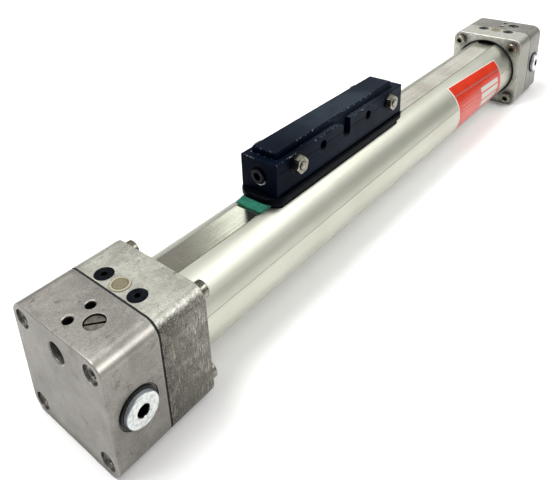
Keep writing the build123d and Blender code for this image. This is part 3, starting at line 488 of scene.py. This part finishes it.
def plain_solid(name, base, shade, roughness, **constants):
    """Plastic or rubber with faint mottling."""
    f = Finish(name)
    patches = f.noise(3.5, detail=5, rough=0.6)
    fine = f.noise(0.4, detail=3)
    color = f.mix(f.span(patches, 0.35, 0.68), base, shade)
    rough = f.span(fine, 0.3, 0.7, roughness - 0.04, roughness + 0.07)
    return f.done(color, rough, f.bump(fine, 0.01, f.soft_edges(0.15)), **constants)


def make_plug_finish():
    """Bright zinc plating, with painted shade nearly black inside the hexagon and a painted
    highlight, whitest on its edges, round its outer rim.
    """
    f = Finish("zinc_plate", metallic=1.0)
    patches = f.noise(2.6, detail=5, rough=0.65)
    scuffs = f.scratches((7, 0.5, 0.5), (0, 35, 0))
    plug_z = (PLUG[0].z + PLUG[1].z) / 2 / MM
    reach = f.radius(f.from_middle(PLUG), f.minus(f.axis("Z"), plug_z))
    color = f.mix(f.span(patches, 0.38, 0.68), tone("d6d9d6"), tone("aab0b1"))
    color = f.mix(f.times(scuffs, 0.6), color, tone("6f7476"))
    # Painted shade: the hexagon's socket is painted nearly black.
    color = f.mix(f.span(reach, PLUG_HEX_MM, PLUG_HEX_MM + 0.1), tone("23242a"), color)
    # Painted highlight: beyond the bevel's start the plug is painted paler, whitest along its
    # edges.
    collar_painted_highlight = f.mix(f.edges(0.7), tone("c9d0d6"), tone("f2f4f4"))
    bevel_end = PLUG_COLLAR_MM + 0.3
    color = f.mix(f.span(reach, PLUG_COLLAR_MM, bevel_end), color, collar_painted_highlight)
    f.feed(f.span(reach, PLUG_COLLAR_MM, bevel_end, 1.0, 0.6), f.shader.inputs["Metallic"])
    return f.done(color, f.span(patches, 0.3, 0.7, 0.2, 0.28), f.soft_edges(0.3))


def make_insert_finish():
    """Steel insert whose bore shows the turns of its thread, with painted shade deep in the bore.
    """
    f = Finish("bright_insert", metallic=1.0)
    turns = f.calc("SINE", f.times(f.axis("X"), 2 * math.pi))
    color = f.mix(f.span(f.noise(1.6, detail=5), 0.38, 0.65), tone("cfccc6"), tone("9a968f"))
    color = f.mix(f.span(turns, -0.2, -0.9, 0.0, 0.8), color, tone("2a2827"))
    # Painted shade: the bore is darkened towards black by ambient occlusion.
    color = f.mix(f.openness(9, 1.2), tone("0a0a0b"), color)
    return f.done(color, 0.3, f.bump(turns, 0.15, f.soft_edges(0.12)))


def make_vent_finish():
    """Beige plastic plug, grubby in the middle and rubbed pale round its rim, with painted shade
    in its hollows.
    """
    f = Finish("beige_plastic")
    patches = f.noise(3.5, detail=5, rough=0.6)
    color = f.mix(f.span(patches, 0.35, 0.68), tone("6f684f"), tone("5f5941"))
    color = f.mix(f.span(f.noise(0.5, detail=3), 0.55, 0.7, 0.0, 0.4), color, tone("8f8972"))
    reach = f.radius(f.from_middle(VENT), f.axis("Y"))
    rim = f.span(reach, VENT_RIM_MM, VENT_RIM_MM + 0.5)
    color = f.mix(rim, color, tone("9d9780"))
    groove = f.between(
        reach, VENT_RIM_MM - 0.5, VENT_RIM_MM - 0.1, VENT_RIM_MM, VENT_RIM_MM + 0.3
    )
    color = f.mix(f.times(groove, 0.7), color, tone("4b4635"))
    # Painted shade: hollows are darkened by ambient occlusion.
    color = f.mix(f.openness(1.2, 1.0), tone("1d1b16"), color)
    return f.done(color, 0.48, f.bump(f.minus(rim, groove), 0.15, f.soft_edges(0.2)))


def make_label_finish():
    """Glossy film: red in a pale border, with one grey line, blank pale fields and pale rules."""
    f = Finish("label_film")
    x, y, z = (f.axis(name) for name in "XYZ")
    along = f.minus(x, LABEL_START_MM)
    angle = f.times(f.calc("ARCTAN2", f.times(y, -1.0), z), 180 / math.pi)
    skew = f.times(along, LABEL_SKEW_DEG / LABEL_LENGTH_MM)
    down = f.minus(angle, skew)

    def field(start, end, top, bottom):
        """1 inside one printed rectangle, in millimetres along and degrees down."""
        lengthwise = f.between(along, start - 0.2, start + 0.2, end - 0.2, end + 0.2)
        crosswise = f.between(down, top - 0.4, top + 0.4, bottom - 0.4, bottom + 0.4)
        return f.times(lengthwise, crosswise)

    fade = f.noise(14, detail=4)
    color = f.mix(f.span(fade, 0.35, 0.65), tone("b92507"), tone("c42c0a"))
    line_top, line_bottom = 51.4, 53.2
    color = f.mix(field(0, LABEL_LENGTH_MM, line_top, line_bottom), color, tone("7d6c6a"))
    rule_top, rule_step, rule_height = 73.5, 6.6, 0.8
    for row in range(5):
        top = rule_top + rule_step * row
        rule = field(7, 44 - 5 * (row % 3), top, top + rule_height)
        color = f.mix(f.times(rule, 0.8), color, tone("d9897b"))
    fields_start, fields_end = 50.7, 91.0
    for top, bottom in ((65.1, 73.9), (77.1, 88.2), (91.5, 104.0)):
        color = f.mix(field(fields_start, fields_end, top, bottom), color, tone("b9b9ad"))
    printed = field(1.0, LABEL_LENGTH_MM - 0.7, LABEL_TOP_DEG + 1.0, LABEL_BOTTOM_DEG - 1.4)
    color = f.mix(printed, tone("e6e4dc"), color)
    return f.done(color, 0.28, Specular_IOR_Level=0.35)


def make_materials():
    """Every finish by the name of its material slot in the record."""
    return {
        "cast_aluminium": make_cover_finish(),
        "cast_flange": make_flange_finish(),
        "anodised_tube": make_tube_finish(),
        "band_steel": make_band_finish(),
        "black_anodised": make_black_anodised(),
        "black_gloss": plain_solid(
            "black_gloss", tone("030406"), tone("060709"), 0.32,
            Specular_IOR_Level=0.03, Specular_Tint=(0.5, 0.7, 1.0, 1.0),
        ),
        "black_rubber": plain_solid("black_rubber", tone("0a0a0a"), tone("131312"), 0.6),
        "black_oxide": plain_metal("black_oxide", tone("14171c"), tone("1f232a"), 0.38),
        "teal_plastic": plain_solid(
            "teal_plastic", tone("0b6a53"), tone("084e3e"), 0.34, Specular_IOR_Level=0.25
        ),
        "beige_plastic": make_vent_finish(),
        "piston_plastic": plain_solid("piston_plastic", tone("1d1d1f"), tone("2a2a2c"), 0.5),
        "guide_plastic": plain_solid("guide_plastic", tone("6b4a2a"), tone("7a5834"), 0.45),
        "band_plastic": plain_solid("band_plastic", tone("2a2a2c"), tone("363638"), 0.4),
        "nickel_steel": plain_metal("nickel_steel", tone("99978a"), tone("69675d"), 0.26),
        "bright_insert": make_insert_finish(),
        "adjuster_steel": plain_metal("adjuster_steel", tone("7f7b72"), tone("57534b"), 0.4),
        "zinc_plate": make_plug_finish(),
        "label_film": make_label_finish(),
        "clamp_steel": plain_metal("clamp_steel", tone("a3a3a3"), tone("838383"), 0.4),
        "spring_steel": plain_metal("spring_steel", tone("55565a"), tone("44454a"), 0.42),
        "brass": plain_metal("brass", tone("c6a15b"), tone("a8834a"), 0.3),
        "yoke_aluminium": plain_metal("yoke_aluminium", tone("c2c2c0"), tone("a9a9a6"), 0.38),
    }


def dress_nodes(materials):
    """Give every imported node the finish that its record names."""
    for subpart in frame["record"]["subparts"]:
        node = frame["nodes"][subpart["node"]]
        node.data.materials.clear()
        node.data.materials.append(materials[subpart["material_slot"]])


def new_piece(name, mesh, material, body):
    """Add a piece of the scene's own, which rides on one of the part's bodies."""
    piece = bpy.data.objects.new(name, mesh)
    bpy.context.scene.collection.objects.link(piece)
    piece.data.materials.append(material)
    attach(piece, body)
    return piece


def mesh_data(name, mesh):
    """The finished mesh, with its faces turned outwards."""
    bmesh.ops.recalc_face_normals(mesh, faces=mesh.faces)
    data = bpy.data.meshes.new(name)
    mesh.to_mesh(data)
    mesh.free()
    return data


def ribbon_mesh(name, line, width, thickness):
    """Strip of constant width along a line of (x, z) points, its middle on the line."""
    mesh = bmesh.new()
    rings = []
    for index, (x, z) in enumerate(line):
        before = Vector(line[max(index - 1, 0)])
        after = Vector(line[min(index + 1, len(line) - 1)])
        run = (after - before).normalized()
        up = Vector((-run.y, run.x)) * thickness / 2
        corners = ((-1, -1), (-1, 1), (1, 1), (1, -1))
        rings.append([
            mesh.verts.new((x + face * up.x, side * width / 2, z + face * up.y))
            for face, side in corners
        ])
    for first, second in zip(rings, rings[1:]):
        for i in range(4):
            j = (i + 1) % 4
            mesh.faces.new((first[i], first[j], second[j], second[i]))
    mesh.faces.new(rings[0][::-1])
    mesh.faces.new(rings[-1])
    return mesh_data(name, mesh)


def bend_line(centre, lying, lift, half_flat, half_foot):
    """Points (x, z) of a band's bent stretch: a rounded ramp, a straight middle, another ramp."""
    slope = math.atan2(abs(lift), half_foot - half_flat)
    corner = BAND_BEND_RADIUS * math.tan(slope / 2)
    way = math.copysign(BAND_BEND_RADIUS, lift)
    steps = 10
    turns = [slope * i / steps for i in range(steps + 1)]
    ramp = []
    for turn in turns:
        x = centre - half_foot - corner + BAND_BEND_RADIUS * math.sin(turn)
        ramp.append((x, lying + way * (1 - math.cos(turn))))
    for turn in reversed(turns):
        x = centre - half_flat + corner - BAND_BEND_RADIUS * math.sin(turn)
        ramp.append((x, lying + lift - way * (1 - math.cos(turn))))
    return ramp + [(2 * centre - x, z) for x, z in reversed(ramp)]


def make_band(node, material, slot, thickness, lift, half_flat, half_foot):
    """The band lies straight in the tube, and its bent stretch travels with the carriage."""
    low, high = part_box(node)
    width = high.y - low.y
    lying = low.z + thickness / 2 if lift > 0 else high.z - thickness / 2
    steps = 24
    straight = [(low.x + (high.x - low.x) * i / steps, lying) for i in range(steps + 1)]
    strip = new_piece(
        f"{node}_strip", ribbon_mesh(f"{node}_strip", straight, width, thickness),
        material, "cylinder",
    )
    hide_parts(node)
    centre = (BODY[0].x + BODY[1].x) / 2
    bent = bend_line(centre, lying, lift, half_flat, half_foot)
    new_piece(
        f"{node}_bend", ribbon_mesh(f"{node}_bend", bent, width, thickness),
        material, "carriage",
    )


def make_label(material):
    """Curved film on the tube's side, closed round its rim, with a thickness of its own."""
    mesh = bmesh.new()
    columns, rows = 30, 64
    inner = TUBE_RADIUS + LABEL_LIFT_MM * MM
    sheets = []
    for radius in (inner, inner + LABEL_THICK_MM * MM):
        sheet = []
        for i in range(columns + 1):
            share = i / columns
            x = (LABEL_START_MM + LABEL_LENGTH_MM * share) * MM
            line = []
            for j in range(rows + 1):
                sweep = LABEL_TOP_DEG + (LABEL_BOTTOM_DEG - LABEL_TOP_DEG) * j / rows
                angle = math.radians(sweep + LABEL_SKEW_DEG * share)
                y, z = -radius * math.sin(angle), radius * math.cos(angle)
                line.append(mesh.verts.new((x, y, z)))
            sheet.append(line)
        sheets.append(sheet)
    for sheet in sheets:
        for first, second in zip(sheet, sheet[1:]):
            for j in range(rows):
                mesh.faces.new((first[j], first[j + 1], second[j + 1], second[j]))
    lower, upper = sheets
    for i in range(columns):
        for j in (0, rows):
            mesh.faces.new((lower[i][j], lower[i + 1][j], upper[i + 1][j], upper[i][j]))
    for j in range(rows):
        for i in (0, columns):
            mesh.faces.new((lower[i][j], lower[i][j + 1], upper[i][j + 1], upper[i][j]))
    data = mesh_data("label", mesh)
    data.shade_smooth()
    data.set_sharp_from_angle(angle=math.radians(30))
    new_piece("label", data, material, "cylinder")


def make_camera():
    """The photograph's viewpoint, with the lens shift that its crop needs."""
    data = bpy.data.cameras.new("camera")
    data.sensor_width = SENSOR_MM
    data.lens = FOCAL_LENGTH_PX * SENSOR_MM / PHOTO_WIDTH
    data.shift_x = (PHOTO_WIDTH / 2 - VIEW_CENTRE_X_PX) / PHOTO_WIDTH
    data.shift_y = (VIEW_CENTRE_Y_PX - PHOTO_HEIGHT / 2) / PHOTO_WIDTH
    data.clip_start = 0.01
    data.clip_end = 50
    up = CAMERA_RIGHT.cross(CAMERA_FORWARD)
    rotation = Matrix((CAMERA_RIGHT, up, -CAMERA_FORWARD)).transposed()
    camera = bpy.data.objects.new("camera", data)
    bpy.context.scene.collection.objects.link(camera)
    camera.matrix_world = Matrix.Translation(CAMERA_MM * MM) @ rotation.to_4x4()
    bpy.context.scene.camera = camera


def make_floor():
    """White studio floor just under the heads."""
    mesh = bpy.data.meshes.new("floor")
    half = FLOOR_SIZE / 2
    height = NEAR_CAP[0].z - FLOOR_GAP
    corners = [
        (x * half, y * half, height) for x, y in ((-1, -1), (1, -1), (1, 1), (-1, 1))
    ]
    mesh.from_pydata(corners, [], [(0, 1, 2, 3)])
    floor = bpy.data.objects.new("floor", mesh)
    bpy.context.scene.collection.objects.link(floor)
    f = Finish("floor_paper")
    color = f.mix(f.noise(300, detail=2), tone("f4f3f2"), tone("f8f8f8"))
    floor.data.materials.append(f.done(color, 0.75, Emission_Strength=0.06))


def area_light(name, place, target, size, power, color=(1, 1, 1)):
    """Rectangular light of this many watts at a place in metres, turned to its target."""
    data = bpy.data.lights.new(name, "AREA")
    data.shape = "RECTANGLE"
    data.size, data.size_y = size
    data.energy = power
    data.color = color
    light = bpy.data.objects.new(name, data)
    bpy.context.scene.collection.objects.link(light)
    light.location = place
    aim = Vector(target) - Vector(place)
    light.rotation_mode = "QUATERNION"
    light.rotation_quaternion = aim.to_track_quat("-Z", "Y")


def make_lights():
    """Two panels overhead, two cards that the band mirrors, one for the near head's rounding."""
    middle = (cad_box[0] + cad_box[1]) / 2
    area_light("ceiling_panel", (1.12, -0.62, 1.1), middle, size=(0.95, 0.4), power=8.2)
    area_light("back_panel", (-0.15, 0.5, 1.55), middle, size=(1.0, 0.8), power=30)
    area_light(
        "strip_card", (1.42, 1.07, 1.08), middle, size=(0.5, 0.5), power=1.3,
        color=(0.92, 1.0, 0.93),
    )
    area_light("far_strip_card", (2.17, 0.73, 0.75), middle, size=(0.8, 0.6), power=1.4)
    area_light("corner_panel", (0.52, -1.55, 1.39), NEAR_CAP[1], size=(0.34, 0.8), power=11.0)


def make_room():
    """Pale room round the object, brighter overhead, in warm greys."""
    world = bpy.data.worlds.new("studio")
    bpy.context.scene.world = world
    world.use_nodes = True
    tree = world.node_tree
    background = tree.nodes["Background"]
    coordinates = tree.nodes.new("ShaderNodeTexCoord")
    split = tree.nodes.new("ShaderNodeSeparateXYZ")
    ramp = tree.nodes.new("ShaderNodeValToRGB")
    tree.links.new(coordinates.outputs["Generated"], split.inputs[0])
    tree.links.new(split.outputs["Z"], ramp.inputs["Fac"])
    while len(ramp.color_ramp.elements) < len(ROOM_GREYS):
        ramp.color_ramp.elements.new(0.5)
    for element, (position, grey) in zip(ramp.color_ramp.elements, ROOM_GREYS):
        element.position = position
        element.color = (grey * ROOM_TINT[0], grey * ROOM_TINT[1], grey * ROOM_TINT[2], 1)
    tree.links.new(ramp.outputs["Color"], background.inputs["Color"])
    background.inputs["Strength"].default_value = 1.0


def set_colour_response():
    """Plain display colours, so tones come out as the materials and lights give them."""
    view = bpy.context.scene.view_settings
    view.view_transform = "Standard"
    view.look = "None"
    view.exposure = 0.0


materials = make_materials()
dress_nodes(materials)
make_band("outer_band", materials["band_steel"], "band_steel", **OUTER_BAND)
make_band("inner_band", materials["band_plastic"], "band_plastic", **INNER_BAND)
make_label(materials["label_film"])
make_camera()
make_floor()
make_lights()
make_room()
set_colour_response()
